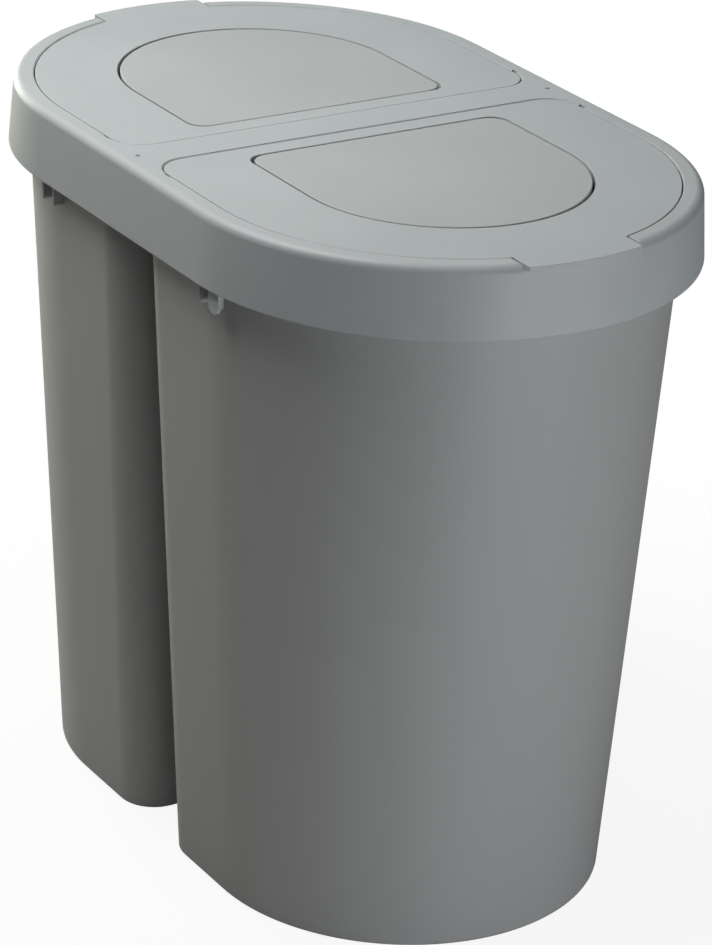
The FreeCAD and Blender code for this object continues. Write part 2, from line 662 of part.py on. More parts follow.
def frame_wells(body, hand, turned):
    """Wall round a lid's opening, hinge bosses, bar wall and the floor under its tab."""
    wall = size("well_wall")
    in_plate = f"({size('total_height')} - {size('frame_wall')} / 2)"
    well = d_sketch(body, f"well_{hand}_outline", LEDGE_FOOT, WELL_SHAPE, f"-{wall}", turned)
    pull(body, "Pad", f"well_{hand}", well, f"{in_plate} - {LEDGE_FOOT}")
    boss = f"({size('hinge_pin')} + {wall})"
    place = (f"{size('hinge_place')} - {boss}", f"{size('hinge_place')} + {boss}")
    blocks_both_sides(
        body,
        f"hinge_boss_{hand}",
        on_hand(place, turned),
        (size("well_radius"), f"{size('hinge_reach')} + {wall}"),
        (size("rim_height"), in_plate),
    )
    half = f"({size('well_radius')} - {size('well_corner')})"
    thick = on_hand((f"{size('bar_half')} - {wall}", size("bar_half")), turned)
    block(body, f"bar_wall_{hand}", thick, (f"-{half}", half), (size("bar_foot"), in_plate))
    thick = size("tab_floor")
    floor = flat_sketch(body, f"tab_floor_{hand}_outline", f"{PLATE_FOOT} - {thick}", turned=turned)
    reach = f"{size('frame_radius')} - {size('frame_wall')} / 2"
    half = f"{size('tab_half')} + {wall}"
    tab_outline(floor, size("tab_root"), half, size("end_centre"), reach)
    pull(body, "Pad", f"tab_floor_{hand}", floor, thick)


def frame_ribs(body):
    """Ribs from the wells out to the skirt, and across under the bar."""
    foot = size("rim_height")
    height = f"{PLATE_FOOT} - {foot}"
    near = f"({size('well_radius')} - {size('ledge_width')})"
    far = size("rib_reach")
    for hand, sign, clockwise in (("right", "", True), ("left", "-", False)):
        rib = flat_sketch(body, f"rib_{hand}_outline", foot, f"{sign}{size('end_centre')}")
        rib_outline(rib, near, far, size("rib_thick"))
        first = pull(body, "Pad", f"rib_{hand}", rib, height)
        half_round(body, f"ribs_{hand}", first, rib, clockwise)
    for place in STRAIGHT_RIBS:
        across = (f"{place} - {size('rib_thick')} / 2", f"{place} + {size('rib_thick')} / 2")
        blocks_both_sides(body, "side_rib", across, (near, far), (foot, PLATE_FOOT))
    half = f"({size('bar_half')} - {size('well_wall')} / 2)"
    for place in BAR_RIBS:
        along = (f"{place} - {size('rib_thick')} / 2", f"{place} + {size('rib_thick')} / 2")
        block(body, "bar_rib", (f"-{half}", half), along, (foot, PLATE_FOOT))


def frame_openings(body, hand, turned):
    """The opening that a lid drops into, its ledge, hinge slots and tab recess."""
    top = size("total_height")
    well = d_sketch(body, f"opening_{hand}_outline", top, WELL_SHAPE, turned=turned)
    pull(body, "Pocket", f"opening_{hand}", well, f"{top} - {LEDGE_TOP}")
    inner, centre, radius, corner = WELL_SHAPE
    ledge = size("ledge_width")
    through = flat_sketch(body, f"through_{hand}_outline", top, turned=turned)
    d_outline(through, inner, centre, f"{radius} - {ledge}", f"{corner} - {ledge}")
    pull(body, "Pocket", f"through_{hand}", through, size("cut_depth"))
    bay = flat_sketch(body, f"tail_bay_{hand}_outline", top, turned=turned)
    bay_outline(bay, inner, size("stop_place"), radius, corner)
    pull(body, "Pocket", f"tail_bay_{hand}", bay, size("cut_depth"))
    slot = side_sketch(body, f"hinge_slot_{hand}_outline", turned=turned)
    pin = f"{size('hinge_pin')} + {size('pin_play')}"
    slot_outline(slot, size("hinge_place"), HINGE_LEVEL, top, pin)
    reach = f"2 * ({size('hinge_reach')} + {size('seat_gap')})"
    pull(body, "Pocket", f"hinge_slot_{hand}", slot, reach, both_ways=True)
    recess = flat_sketch(body, f"tab_recess_{hand}_outline", top, turned=turned)
    half = f"{size('tab_half')} + {size('tab_gap')}"
    beyond = f"{size('tab_radius')} + {size('frame_round')}"
    tab_outline(recess, size("tab_root"), half, size("lid_centre"), beyond)
    deep = f"{size('lid_drop')} + {size('tab_thick')} + {size('seat_gap')}"
    pull(body, "Pocket", f"tab_recess_{hand}", recess, deep)


def frame_tongues(body, hand, turned):
    """Two tongues that hang inside the skirt and guide the frame onto a tub."""
    out = size("tongue_side")
    thick = size("tongue_thick")
    for side, offset in (("out", out), ("in", f"-({out} + {thick})")):
        outline = side_sketch(body, f"tongue_{hand}_{side}_outline", offset, turned)
        near, width = size("tongue_near"), size("tongue_width")
        tongue_outline(outline, near, width, size("tongue_foot"), PLATE_FOOT)
        pull(body, "Pad", f"tongue_{hand}_{side}", outline, thick)


# ---------------------------------------------------------------- the whole


def check(doc, bodies):
    """Stop if any object failed or any sub-part isn't one valid closed solid."""
    for item in doc.Objects:
        if {"Invalid", "Error"} & set(item.State):
            raise RuntimeError(f"{item.Name} is {item.State}")
    for body in bodies:
        shape = body.Shape
        if shape.isNull() or not shape.isValid() or len(shape.Solids) != 1:
            raise RuntimeError(f"{body.Label} isn't one valid solid")


def report(bodies):
    """Print each sub-part's volume and centre of mass."""
    for body in bodies:
        middle = body.Shape.CenterOfGravity
        place = ", ".join(f"{value:.2f}" for value in middle)
        volume = body.Shape.Volume / MM3_IN_CM3
        print(f"{body.Label}: {volume:.1f} cm3, centre of mass at {place}")


def main():
    doc = FreeCAD.newDocument("double_recycling_bin")
    make_sheet(doc)
    bodies = [make_frame(doc, "lid_frame")]
    for hand in ("right", "left"):
        pair = [
            make_tub(doc, f"bin_{hand}"),
            make_lid(doc, f"lid_{hand}"),
            make_flap(doc, f"flap_{hand}"),
        ]
        if hand == "left":
            for body in pair:
                body.Placement = FreeCAD.Placement(V(0, 0, 0), TURN_HALF)
        bodies += pair
    doc.recompute()
    check(doc, bodies)
    report(bodies)
    os.makedirs("parts", exist_ok=True)
    for body in bodies:
        body.Shape.exportStep(f"parts/{body.Label}.step")


main()
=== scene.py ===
# %% [markdown]
# # A double recycling bin
#
# Two D-shaped plastic tubs stand back to back under one shared frame. Each tub has a
# hinged lid, and each lid holds a flap that swings. Every piece of the real object is one
# injection moulding, so every piece here is one closed mesh that is built up the way a
# mould is cut: an outline, a wall pulled up from it, a cavity, and then ribs and pins.
#
# The CAD model is loaded first. It fixes where each piece is and how it moves, and each
# finished mesh takes the place of one CAD node.

# %% Load the fixed frame
import math

import bmesh
import bpy
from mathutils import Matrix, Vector


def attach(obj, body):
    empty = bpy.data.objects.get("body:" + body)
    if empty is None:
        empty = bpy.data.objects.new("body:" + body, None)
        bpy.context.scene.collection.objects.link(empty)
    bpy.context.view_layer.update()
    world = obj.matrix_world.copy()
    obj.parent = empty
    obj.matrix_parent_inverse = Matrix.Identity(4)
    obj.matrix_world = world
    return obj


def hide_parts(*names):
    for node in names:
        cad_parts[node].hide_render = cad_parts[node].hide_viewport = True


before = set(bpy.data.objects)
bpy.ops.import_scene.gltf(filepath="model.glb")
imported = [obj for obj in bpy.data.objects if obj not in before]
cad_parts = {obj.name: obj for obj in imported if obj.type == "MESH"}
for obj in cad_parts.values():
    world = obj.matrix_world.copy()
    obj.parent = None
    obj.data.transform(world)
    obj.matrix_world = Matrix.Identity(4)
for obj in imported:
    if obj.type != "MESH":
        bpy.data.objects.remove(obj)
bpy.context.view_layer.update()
print("CAD nodes:", sorted(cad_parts))

# %% [markdown]
# ## Units and selection
#
# Blender works in metres and a moulding drawing is in millimetres, so one number turns
# the one into the other. All sizes below are in millimetres unless a comment says
# otherwise. An operator acts on all that is selected, and the loaded CAD nodes are still
# selected, so everything is deselected before the first primitive.

# %% Units and selection helpers
MM = 0.001  # a millimetre in Blender's metres
NEAR = 0.01  # points closer than this, in mm, count as one place
ROUND_STEPS = 120  # edges on a half circle
CORNER_STEPS = 14  # edges on a rounded corner


def deselect_all():
    """Nothing is selected, so that an operator only touches the new piece."""
    bpy.ops.object.select_all(action="DESELECT")


def pick(piece):
    """Only this piece is selected and active."""
    deselect_all()
    piece.select_set(True)
    bpy.context.view_layer.objects.active = piece


def select_faces(test):
    """In edit mode, select the faces whose centre and normal pass a test, in mm."""
    shape = bmesh.from_edit_mesh(bpy.context.object.data)
    bpy.ops.mesh.select_mode(type="FACE")
    bpy.ops.mesh.select_all(action="DESELECT")
    for face in shape.faces:
        face.select_set(test(face.calc_center_median() / MM, face.normal))
    bmesh.update_edit_mesh(bpy.context.object.data)


def select_edges(test):
    """In edit mode, select the edges whose two ends pass a test, in mm."""
    shape = bmesh.from_edit_mesh(bpy.context.object.data)
    bpy.ops.mesh.select_mode(type="EDGE")
    bpy.ops.mesh.select_all(action="DESELECT")
    for edge in shape.edges:
        edge.select_set(all(test(end.co / MM) for end in edge.verts))
    bmesh.update_edit_mesh(bpy.context.object.data)


deselect_all()

# %% [markdown]
# ## The D outline
#
# Tubs, lids, flaps and openings all share one outline: a half circle, two straight sides
# and a straight back with rounded corners. It can be drawn as a curve or typed in as
# points. Here it is made as by hand: a circle is cut in half, its cut edge is pulled out
# to the straight back, and the two corners are bevelled. The result is one flat face.
# Every outline below is written as (straight back, centre, radius, corner), in mm.

# %% Make a D face
def d_face(name, inner, centre, radius, corner, level):
    """A flat D at a level: straight back at inner, half circle about centre."""
    deselect_all()
    bpy.ops.mesh.primitive_circle_add(
        vertices=2 * ROUND_STEPS,
        radius=radius * MM,
        fill_type="NGON",
        location=(centre * MM, 0, level * MM),
    )
    piece = bpy.context.object
    piece.name = name
    bpy.ops.object.transform_apply(location=True, rotation=True, scale=True)
    bpy.ops.object.mode_set(mode="EDIT")
    bpy.ops.mesh.select_all(action="SELECT")
    middle = (centre * MM, 0, level * MM)
    bpy.ops.mesh.bisect(plane_co=middle, plane_no=(1, 0, 0), clear_inner=True)
    select_edges(lambda end: abs(end.x - centre) < NEAR)
    back = ((inner - centre) * MM, 0, 0)
    bpy.ops.mesh.extrude_region_move(TRANSFORM_OT_translate={"value": back})
    bpy.ops.mesh.select_mode(type="VERT")
    bpy.ops.mesh.bevel(offset=corner * MM, segments=CORNER_STEPS, affect="VERTICES")
    bpy.ops.mesh.select_all(action="SELECT")
    bpy.ops.mesh.dissolve_faces()
    bpy.ops.mesh.normals_make_consistent(inside=False)
    bpy.ops.object.mode_set(mode="OBJECT")
    return piece


LID_SHAPE = (16.3, 106.6, 159.1, 22.3)
test_face = d_face("test_face", *LID_SHAPE, 0)
print("points on one D outline:", len(test_face.data.vertices))
bpy.ops.object.delete()

# %% [markdown]
# ## From an outline to a moulded form
#
# A moulded rim has a rounded edge. One way is a bevel at the end, but on a face with
# many corners a bevel can tangle. Inset with a depth does the same in a controlled way:
# each step draws the top face in by a little and lifts it by a little, and the steps
# follow a quarter circle.

# %% Turn a closed mesh the right way round
def face_outwards():
    """In edit mode, make all faces agree, and flip them if the volume is negative."""
    bpy.ops.mesh.select_all(action="SELECT")
    bpy.ops.mesh.normals_make_consistent(inside=False)
    shape = bmesh.from_edit_mesh(bpy.context.object.data)
    if shape.calc_volume(signed=True) < 0:
        bpy.ops.mesh.flip_normals()


# %% Raise a form from a face
EDGE_STEPS = 5
LEVEL_NORMAL = 0.5  # a face is level when its normal's z, squared, is more than this


def rounded_edge(radius, steps=EDGE_STEPS):
    """Steps (inset, rise) in mm along a quarter circle, from a wall to a flat top."""
    places = []
    for step in range(steps + 1):
        angle = math.pi / 2 * step / steps
        places.append((radius * (1 - math.cos(angle)), radius * math.sin(angle)))
    return [(b[0] - a[0], b[1] - a[1]) for a, b in zip(places, places[1:])]


def raise_form(piece, steps, below=()):
    """Pull a flat face up in steps (inset, rise) in mm, and its underside down by below."""
    pick(piece)
    bpy.ops.object.mode_set(mode="EDIT")
    bpy.ops.mesh.select_mode(type="FACE")
    bpy.ops.mesh.select_all(action="SELECT")
    first = (0, 0, steps[0][1] * MM)
    bpy.ops.mesh.extrude_region_move(TRANSFORM_OT_translate={"value": first})
    face_outwards()
    levels = [vertex.co.z / MM for vertex in bmesh.from_edit_mesh(piece.data).verts]
    for level, turns in ((max(levels), steps[1:]), (min(levels), below)):

        def at_this_end(middle, normal):
            return normal.z**2 > LEVEL_NORMAL and abs(middle.z - level) < NEAR

        select_faces(at_this_end)
        for inset, rise in turns:
            bpy.ops.mesh.inset(thickness=inset * MM, depth=rise * MM)
    face_outwards()
    bpy.ops.object.mode_set(mode="OBJECT")
    return piece


def d_block(name, shape, low, high, edge=0.0, grow=0.0):
    """A D block from low to high with a rounded top edge, its outline grown by a little."""
    inner, centre, radius, corner = shape
    face = d_face(name, inner - grow, centre, radius + grow, corner + grow, low)
    steps = [(0, high - low - edge)]
    if edge:
        steps += rounded_edge(edge)
    return raise_form(face, steps)


# %% [markdown]
# ## Adding and cutting solids
#
# Wells, mouths and slots are cavities in a mould, and ribs and pins are cavities in its
# other half. The Boolean modifier does both. Each one is applied at once, because the
# finished piece has to be one plain closed mesh. A Boolean goes wrong where two faces lie
# in one plane, so solids that are joined lap by small, different amounts, and a cutter
# runs past the face that it cuts.

# %% Boolean, box and rod helpers
HAIR = 0.01  # mm, just enough to keep two faces out of one plane
LAP = 0.1  # mm that joined solids run into each other, or a few times that
PAST, OVERRUN = 1.0, 2.0  # mm that a cutter runs past a face
ROD_SIDES = 48


def combine(piece, other, operation):
    """Join a piece with another closed mesh or cut it by that; the other is used up."""
    pick(piece)
    bpy.ops.object.modifier_add(type="BOOLEAN")
    joint = piece.modifiers[-1]
    joint.operation = operation
    joint.solver = "EXACT"
    joint.object = other
    bpy.ops.object.modifier_apply(modifier=joint.name)
    pick(other)
    bpy.ops.object.delete()
    return piece


def box(name, low, high):
    """A box between two corners, in mm."""
    deselect_all()
    middle = [(a + b) / 2 * MM for a, b in zip(low, high)]
    width = [(b - a) * MM for a, b in zip(low, high)]
    bpy.ops.mesh.primitive_cube_add(size=1, location=middle, scale=width)
    piece = bpy.context.object
    piece.name = name
    bpy.ops.object.transform_apply(location=True, rotation=True, scale=True)
    return piece


def rod(name, radius, x, z, near, far):
    """A round rod along Y from near to far, in mm."""
    deselect_all()
    bpy.ops.mesh.primitive_cylinder_add(
        vertices=ROD_SIDES,
        radius=radius * MM,
        depth=(far - near) * MM,
        location=(x * MM, (near + far) / 2 * MM, z * MM),
        rotation=(math.pi / 2, 0, 0),
    )
    piece = bpy.context.object
    piece.name = name
    bpy.ops.object.transform_apply(location=True, rotation=True, scale=True)
    return piece


def on_both_sides(piece, make):
    """Make a small solid at +Y and at -Y and add it to the piece."""
    for side in (1, -1):
        combine(piece, make(side), "UNION")


def side_box(name, x, y, z, side):
    """A box at +Y, or the same box at -Y, from spans along each axis."""
    low, high = (y[0], y[1]) if side > 0 else (-y[1], -y[0])
    return box(name, (x[0], low, z[0]), (x[1], high, z[1]))


def side_rod(name, radius, x, z, y, side):
    """A rod at +Y, or the same rod at -Y."""
    near, far = (y[0], y[1]) if side > 0 else (-y[1], -y[0])
    return rod(name, radius, x, z, near, far)


# %% [markdown]
# ## Finishing a mesh
#
# After the cuts, doubled points are merged and the faces are turned outwards. Smooth
# shading would bend the light on the large flat faces, so edges over 30 degrees stay
# sharp and the Weighted Normal modifier lets the large faces set the direction.

# %% Finish and place helpers
SHARP_ANGLE = math.radians(30)
MERGE = 0.002  # points closer than this, in mm, are doubles
PLACED_SLOTS = []


def finish_mesh(piece):
    """Merge doubles, face outwards, shade, and let large faces lead the normals."""
    pick(piece)
    bpy.ops.object.mode_set(mode="EDIT")
    bpy.ops.mesh.select_all(action="SELECT")
    bpy.ops.mesh.remove_doubles(threshold=MERGE * MM)
    bpy.ops.mesh.dissolve_degenerate(threshold=MERGE * MM)
    face_outwards()
    bpy.ops.object.mode_set(mode="OBJECT")
    bpy.ops.object.shade_smooth_by_angle(angle=SHARP_ANGLE)
    bpy.ops.object.modifier_add(type="WEIGHTED_NORMAL")
    weight = piece.modifiers[-1]
    weight.keep_sharp = True
    bpy.ops.object.modifier_apply(modifier=weight.name)
    return piece


def turned_copy(piece, name):
    """The same moulding for the other side: a copy with its own mesh, turned half round."""
    pick(piece)
    bpy.ops.object.duplicate()
    copy = bpy.context.object
    copy.name = name
    copy.rotation_euler = (0, 0, math.pi)
    bpy.ops.object.transform_apply(location=True, rotation=True, scale=True)
    return copy


def place(piece, node, material_slot):
    """The piece rides on the body of the same name as the node, and stands for the node."""
    piece.name = f"{node}_moulding"
    piece.data.name = piece.name
    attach(piece, node)
    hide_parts(node)
    PLACED_SLOTS.append((piece, material_slot))
    print(piece.name, "has", len(piece.data.vertices), "points")


# %% [markdown]
# ## The tubs
#
# A tub is a deep D-shaped pail that is narrower at the floor, so that it leaves its
# mould and stacks. Its half circle grows by 27 mm on the way up but its flat back only
# by 9 mm, so scaling the whole outline would be wrong. The D is extruded level by level
# instead, and at each level its half circle is scaled about its own centre while its two
# corners are moved and tightened. The walls go up outside, over the brim and down inside.

# %% Sizes of a tub
RIM_HEIGHT = 478.0
TUB_CENTRE = 99.2
TUB_CORNER = 26.5
FOOT_INNER, BRIM_INNER = 19.1, 10.2
FOOT_RADIUS, BRIM_RADIUS = 139.6, 166.7
TUB_WALL = 2.0
FOOT_ROUND = 3.0
FOOT_RING = 14.0
FOOT_RAISE = 3.0
FLOOR_TOP = 6.0
FLOOR_BEVEL = 7.0
FLANGE_OUT, FLANGE_THICK = 2.8, 2.4
BRIM_ROUND = 0.6


def tub_shape(height, inset):
    """The tub's D at a height, drawn in by an inset: inner, centre, radius, corner."""
    share = height / RIM_HEIGHT
    inner = FOOT_INNER + (BRIM_INNER - FOOT_INNER) * share + inset
    radius = FOOT_RADIUS + (BRIM_RADIUS - FOOT_RADIUS) * share - inset
    return inner, TUB_CENTRE, radius, TUB_CORNER - inset


def tub_profile():
    """Rings (height, inset) up the outside, over the brim and down the inside."""
    rings = [(FOOT_RAISE, FOOT_RING), (0, FOOT_RING)]
    for step in range(EDGE_STEPS + 1):
        angle = math.pi / 2 * step / EDGE_STEPS
        height = FOOT_ROUND * (1 - math.cos(angle))
        rings.append((height, FOOT_ROUND * (1 - math.sin(angle))))
    under = RIM_HEIGHT - FLANGE_THICK
    rings += [(under, 0), (under, BRIM_ROUND - FLANGE_OUT)]
    rings += [(under + BRIM_ROUND, -FLANGE_OUT), (RIM_HEIGHT - BRIM_ROUND, -FLANGE_OUT)]
    rings += [(RIM_HEIGHT, BRIM_ROUND - FLANGE_OUT), (RIM_HEIGHT, TUB_WALL - BRIM_ROUND)]
    rings += [(RIM_HEIGHT - BRIM_ROUND, TUB_WALL)]
    for step in range(EDGE_STEPS + 1):
        angle = math.pi / 2 * step / EDGE_STEPS
        height = FLOOR_TOP + FLOOR_BEVEL * (1 - math.sin(angle))
        rings.append((height, TUB_WALL + FLOOR_BEVEL * (1 - math.cos(angle))))
    return rings


# %% Pull a D up through a row of outlines
def select_points(numbers):
    """In edit mode, select these points and the edges and faces between them."""
    shape = bmesh.from_edit_mesh(bpy.context.object.data)
    shape.verts.ensure_lookup_table()
    bpy.ops.mesh.select_mode(type="VERT")
    bpy.ops.mesh.select_all(action="DESELECT")
    for number in numbers:
        shape.verts[number].select_set(True)
    shape.select_flush(True)
    bmesh.update_edit_mesh(bpy.context.object.data)


def reshape_d(old, new, level):
    """In edit mode, turn the selected D into another by its round end and its corners."""
    points = bmesh.from_edit_mesh(bpy.context.object.data).verts
    ring = {p.index: p.co / MM for p in points if p.select}
    round_end = [n for n, co in ring.items() if co.x > old[1] - NEAR]
    back = [n for n in ring if n not in round_end]
    corners = {side: [n for n in back if ring[n].y * side > 0] for side in (1, -1)}
    grow = new[2] / old[2]
    select_points(round_end)
    pivot = (old[1] * MM, 0, level * MM)
    bpy.ops.transform.resize(value=(grow, grow, 1), center_override=pivot)
    for side, group in corners.items():
        start = Vector((old[0] + old[3], side * (old[2] - old[3]), level)) * MM
        end = Vector((new[0] + new[3], side * (new[2] - new[3]), level)) * MM
        tighten = new[3] / old[3]
        select_points(group)
        bpy.ops.transform.resize(value=(tighten, tighten, 1), center_override=start)
        bpy.ops.transform.translate(value=end - start)
    select_points(list(ring))


def d_stack(name, rings):
    """A D face pulled through a row of (outline, level), closed at both ends."""
    (shape, level), rest = rings[0], rings[1:]
    stack = d_face(name, *shape, level)
    bpy.ops.object.mode_set(mode="EDIT")
    bpy.ops.mesh.select_mode(type="FACE")
    bpy.ops.mesh.select_all(action="SELECT")
    for outline, height in rest:
        rise = (0, 0, (height - level) * MM)
        bpy.ops.mesh.extrude_region_move(TRANSFORM_OT_translate={"value": rise})
        reshape_d(shape, outline, height)
        shape, level = outline, height
    face_outwards()
    bpy.ops.object.mode_set(mode="OBJECT")
    return stack


# %% Build the tub with its gussets
# For each side, -Y and +Y: (place along X, reach along Y) of every gusset.
GUSSETS = {-1: ((102.6, 172.0), (118.0, 169.4)), 1: ((92.6, 172.0), (107.4, 172.0))}
GUSSET_THICK = 2.0
GUSSET_FOOT = 437.0


def make_tub(name):
    """A tub: wall, brim flange, raised floor, and two gussets on each side."""
    rings = [(tub_shape(height, inset), height) for height, inset in tub_profile()]
    tub = d_stack(name, rings)
    inside = tub_shape(GUSSET_FOOT, TUB_WALL / 2)[2]
    level = (GUSSET_FOOT, RIM_HEIGHT - FLANGE_THICK / 2)
    for side, gussets in GUSSETS.items():
        for near, outer in gussets:
            across = (near, near + GUSSET_THICK)
            combine(tub, side_box("gusset", across, (inside, outer), level, side), "UNION")
    return finish_mesh(tub)


tub_right = make_tub("tub_right")
tub_left = turned_copy(tub_right, "tub_left")
place(tub_right, "bin_right", "tub_plastic")
place(tub_left, "bin_left", "tub_plastic")

# %% [markdown]
# ## The flaps
#
# A flap is a shallow tray, open below, so that it is stiff and light. Its rim hides the
# gap to the lid when it swings, and draws in a little below, so that its lower edge
# clears the mouth. Ribs run across it, and its two stub pins sit just above its centre of
# mass, which is why it falls shut by itself.

# %% Build a flap
FRAME_TOP = 500.0
LID_DROP = 0.8  # mm from the frame's top down to the level that lid sizes count from
LID_TOP = FRAME_TOP - LID_DROP
CROWN = 0.5  # mm that the faces of lids and flaps stand above that level
FLAP_SHAPE = (32.5, 114.0, 97.4, 13.6)
FLAP_DEPTH, FLAP_PLATE, FLAP_RIM, FLAP_ROUND = 20.0, 1.8, 2.0, 0.9
FLAP_DRAFT, FLAP_INNER_ROUND = 1.2, 1.2
FLAP_RIB, FLAP_RIB_SIDE, FLAP_RIB_END = 1.8, 41.0, 199.2
PIVOT_PLACE, PIVOT_LEVEL = 112.95, LID_TOP - 3.6
PIVOT_PIN, PIVOT_REACH = 2.0, 103.8


def make_flap(name):
    """A tray whose sides draw in below a rounded edge, three ribs and two stub pins."""
    foot = LID_TOP - FLAP_DEPTH
    shoulder = LID_TOP + CROWN - FLAP_ROUND
    flap = d_face(name, *FLAP_SHAPE, shoulder)
    raise_form(flap, rounded_edge(FLAP_ROUND), [(FLAP_DRAFT, shoulder - foot)])
    under = LID_TOP - FLAP_PLATE
    wall = FLAP_DRAFT + FLAP_RIM
    hollow = d_block("hollow", FLAP_SHAPE, foot - PAST, under, FLAP_INNER_ROUND, -wall)
    combine(flap, hollow, "DIFFERENCE")
    half = FLAP_SHAPE[2] - wall + FLAP_RIM / 2
    span = (PIVOT_PLACE - FLAP_RIB / 2, PIVOT_PLACE + FLAP_RIB / 2)
    middle = box("rib", (span[0], -half, foot + HAIR), (span[1], half, under + 5 * LAP))
    combine(flap, middle, "UNION")
    length = (FLAP_SHAPE[0] + wall - FLAP_RIM / 2, FLAP_RIB_END)
    across = (FLAP_RIB_SIDE, FLAP_RIB_SIDE + FLAP_RIB)
    tall = (foot + 2 * HAIR, under + 4 * LAP)
    on_both_sides(flap, lambda side: side_box("rib", length, across, tall, side))
    reach = (half, PIVOT_REACH)
    on_both_sides(
        flap, lambda side: side_rod("pin", PIVOT_PIN, PIVOT_PLACE, PIVOT_LEVEL, reach, side)
    )
    return finish_mesh(flap)


flap_right = make_flap("flap_right_tray")
flap_left = turned_copy(flap_right, "flap_left_tray")
place(flap_right, "flap_right", "flap_plastic")
place(flap_left, "flap_left", "flap_plastic")

# %% [markdown]
# ## The tab outline
#
# A lid is lifted by a tab at its round end. The tab's outer edge is part of a circle
# about the lid's centre and its sides are straight, so it starts as a circle that is
# bisected three times.

# %% Make a tab's face
def tab_face(name, root, half, centre, radius, level):
    """A flat band between y = -half and half, from root out to a circle about centre."""
    deselect_all()
    bpy.ops.mesh.primitive_circle_add(
        vertices=4 * ROUND_STEPS,
        radius=radius * MM,
        fill_type="NGON",
        location=(centre * MM, 0, level * MM),
    )
    piece = bpy.context.object
    piece.name = name
    bpy.ops.object.transform_apply(location=True, rotation=True, scale=True)
    bpy.ops.object.mode_set(mode="EDIT")
    cuts = (((root, 0), (1, 0)), ((0, half), (0, -1)), ((0, -half), (0, 1)))
    for (x, y), (across, along) in cuts:
        bpy.ops.mesh.select_all(action="SELECT")
        bpy.ops.mesh.bisect(
            plane_co=(x * MM, y * MM, level * MM),
            plane_no=(across, along, 0),
            clear_inner=True,
        )
    bpy.ops.object.mode_set(mode="OBJECT")
    return piece


# %% [markdown]
# ## The lids
#
# A lid is a thin plate with a turned-down rim, stiffened by spokes between its rim and
# the collar round the flap's mouth. Its hinge pins are part of the moulding. The mouth's
# upper edge is eased, so the tool that cuts it is a D that opens out at the top.

# %% Build a lid
LID_DEPTH, LID_PLATE, LID_RIM, LID_ROUND = 9.0, 2.4, 2.2, 0.4
TAB_HALF, TAB_RADIUS, TAB_THICK, TAB_ROOT = 42.0, 176.8, 2.6, 250.0
MOUTH_SHAPE = (31.2, 114.0, 99.4, 12.8)
MOUTH_EASED = 0.3
TAB_ROUND, TAB_STEPS = 0.4, 3
COLLAR_WALL, COLLAR_DEPTH = 2.0, 12.0
HINGE_PLACE, HINGE_LEVEL, HINGE_PIN, HINGE_REACH = 41.0, LID_TOP - 5.0, 3.0, 165.2
PIN_PLAY = 0.05
SPOKES = 7
EASED, EASE_STEPS = 0.6, 4


def eased_steps(ease):
    """Steps (inset, rise) down from a wide mouth to an upright wall."""
    return [(inset, rise) for rise, inset in reversed(rounded_edge(ease, EASE_STEPS))]


def easing_cutter(name, shape, low, top, ease):
    """A D cutter whose sides open out in a quarter circle just below the top."""
    inner, centre, radius, corner = shape
    face = d_face(name, inner - ease, centre, radius + ease, corner + ease, top)
    return raise_form(face, [(0, OVERRUN)], eased_steps(ease) + [(0, top - ease - low)])


def half_turn(count):
    """Angles that spread this many ribs over half a circle."""
    return [math.pi * (number / (count - 1) - 0.5) for number in range(count)]


def spoke(angle):
    """One rib from the collar out to the rim, turned about the lid's centre."""
    near = MOUTH_SHAPE[2] + COLLAR_WALL / 2
    far = LID_SHAPE[2] - LID_RIM / 2
    half = FLAP_RIB / 2
    low, high = LID_TOP - LID_DEPTH + 2 * HAIR, LID_TOP - LID_PLATE + 5 * LAP
    rib = box("spoke", (near, -half, low), (far, half, high))
    rib.rotation_euler = (0, 0, angle)
    rib.location = (LID_SHAPE[1] * MM, 0, 0)
    bpy.ops.object.transform_apply(location=True, rotation=True, scale=True)
    return rib


